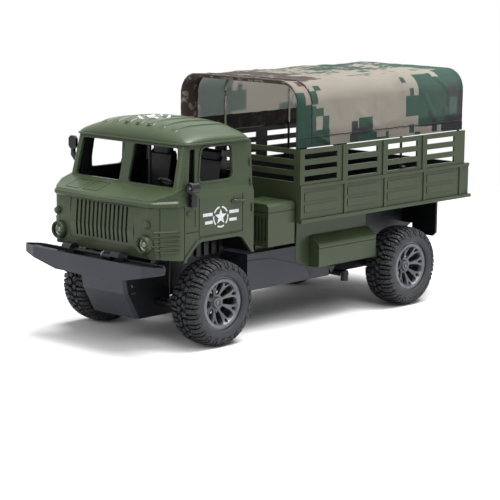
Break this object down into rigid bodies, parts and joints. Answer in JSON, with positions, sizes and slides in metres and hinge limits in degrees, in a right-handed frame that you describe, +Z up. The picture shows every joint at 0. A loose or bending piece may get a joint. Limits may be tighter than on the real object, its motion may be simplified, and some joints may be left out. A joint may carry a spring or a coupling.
{
  "type": "toy military cargo truck",
  "caption": "Toy cab-over cargo truck with steering front wheels, slatted bed, drop tailgate and a camouflage canvas canopy on wire bows.",
  "frame": {"origin": "on the ground, under the middle of the truck's bounding box", "axes": "+X towards the truck's front, +Y its left side, +Z up"},
  "size_m": [0.354, 0.145, 0.181],
  "materials": {
    "body_green": "satin moulded olive green",
    "chassis_grey": "satin moulded dark grey",
    "black_plastic": "satin black",
    "rim_grey": "satin moulded grey",
    "tyre_rubber": "matte rubber",
    "lamp_lens": "bright moulded lens",
    "bow_wire": "bright wire",
    "canvas": "woven camouflage cloth"
  },
  "bodies": {
    "root": {"cab_body": "body_green", "cab_roof": "body_green", "grille": "body_green", "louvre_box_left": "body_green", "louvre_box_right": "body_green", "storage_box_left": "body_green", "storage_box_right": "body_green", "bed_floor": "body_green", "bed_side_left": "body_green", "bed_side_right": "body_green", "rack_left": "body_green", "rack_right": "body_green", "bed_front_board": "body_green", "chassis": "chassis_grey", "front_bumper": "chassis_grey", "front_axle": "chassis_grey", "rear_axle": "chassis_grey", "battery_cover": "chassis_grey", "mud_flaps": "chassis_grey", "tow_hooks": "black_plastic", "cab_tub": "black_plastic", "dashboard": "black_plastic", "seat_left": "black_plastic", "seat_right": "black_plastic", "steering_wheel": "black_plastic", "spot_lamp": "black_plastic", "mirror_right": "black_plastic", "headlamp_lenses": "lamp_lens", "canopy_bows": "bow_wire", "canopy": "canvas"},
    "tailgate": {"tailgate": "body_green"},
    "knuckle_left_body": {"knuckle_left": "chassis_grey"},
    "knuckle_right_body": {"knuckle_right": "chassis_grey"},
    "tie_rod_body": {"tie_rod": "chassis_grey"},
    "wheel_front_left": {"tyre_front_left": "tyre_rubber", "rim_front_left": "rim_grey"},
    "wheel_front_right": {"tyre_front_right": "tyre_rubber", "rim_front_right": "rim_grey"},
    "wheel_rear_left": {"tyre_rear_left": "tyre_rubber", "rim_rear_left": "rim_grey"},
    "wheel_rear_right": {"tyre_rear_right": "tyre_rubber", "rim_rear_right": "rim_grey"}
  },
  "joints": [
    {"name": "steer_left", "type": "hinge", "parent": "root", "child": "knuckle_left_body", "pos_m": [0.109, 0.038, 0.0306], "axis": [0, 0, 1], "range_deg": [-20, 20]},
    {"name": "steer_right", "type": "hinge", "parent": "root", "child": "knuckle_right_body", "pos_m": [0.109, -0.038, 0.0306], "axis": [0, 0, 1], "range_deg": [-20, 20]},
    {"name": "tie_rod_slide", "type": "slide", "parent": "root", "child": "tie_rod_body", "axis": [0, 1, 0], "range_m": [-0.0072, 0.0072]},
    {"name": "roll_front_left", "type": "hinge", "parent": "knuckle_left_body", "child": "wheel_front_left", "pos_m": [0.109, 0.0573, 0.0306], "axis": [0, 1, 0], "continuous": true},
    {"name": "roll_front_right", "type": "hinge", "parent": "knuckle_right_body", "child": "wheel_front_right", "pos_m": [0.109, -0.0573, 0.0306], "axis": [0, 1, 0], "continuous": true},
    {"name": "roll_rear_left", "type": "hinge", "parent": "root", "child": "wheel_rear_left", "pos_m": [-0.099, 0.0573, 0.0306], "axis": [0, 1, 0], "continuous": true},
    {"name": "roll_rear_right", "type": "hinge", "parent": "root", "child": "wheel_rear_right", "pos_m": [-0.099, -0.0573, 0.0306], "axis": [0, 1, 0], "continuous": true},
    {"name": "tailgate_hinge", "type": "hinge", "parent": "root", "child": "tailgate", "pos_m": [-0.1724, 0, 0.0824], "axis": [0, -1, 0], "range_deg": [0, 95]}
  ],
  "couplings": [
    {"joint": "steer_right", "follows": "steer_left", "ratio": 1},
    {"joint": "tie_rod_slide", "follows": "steer_left", "m_per_rad": 0.020576}
  ]
}
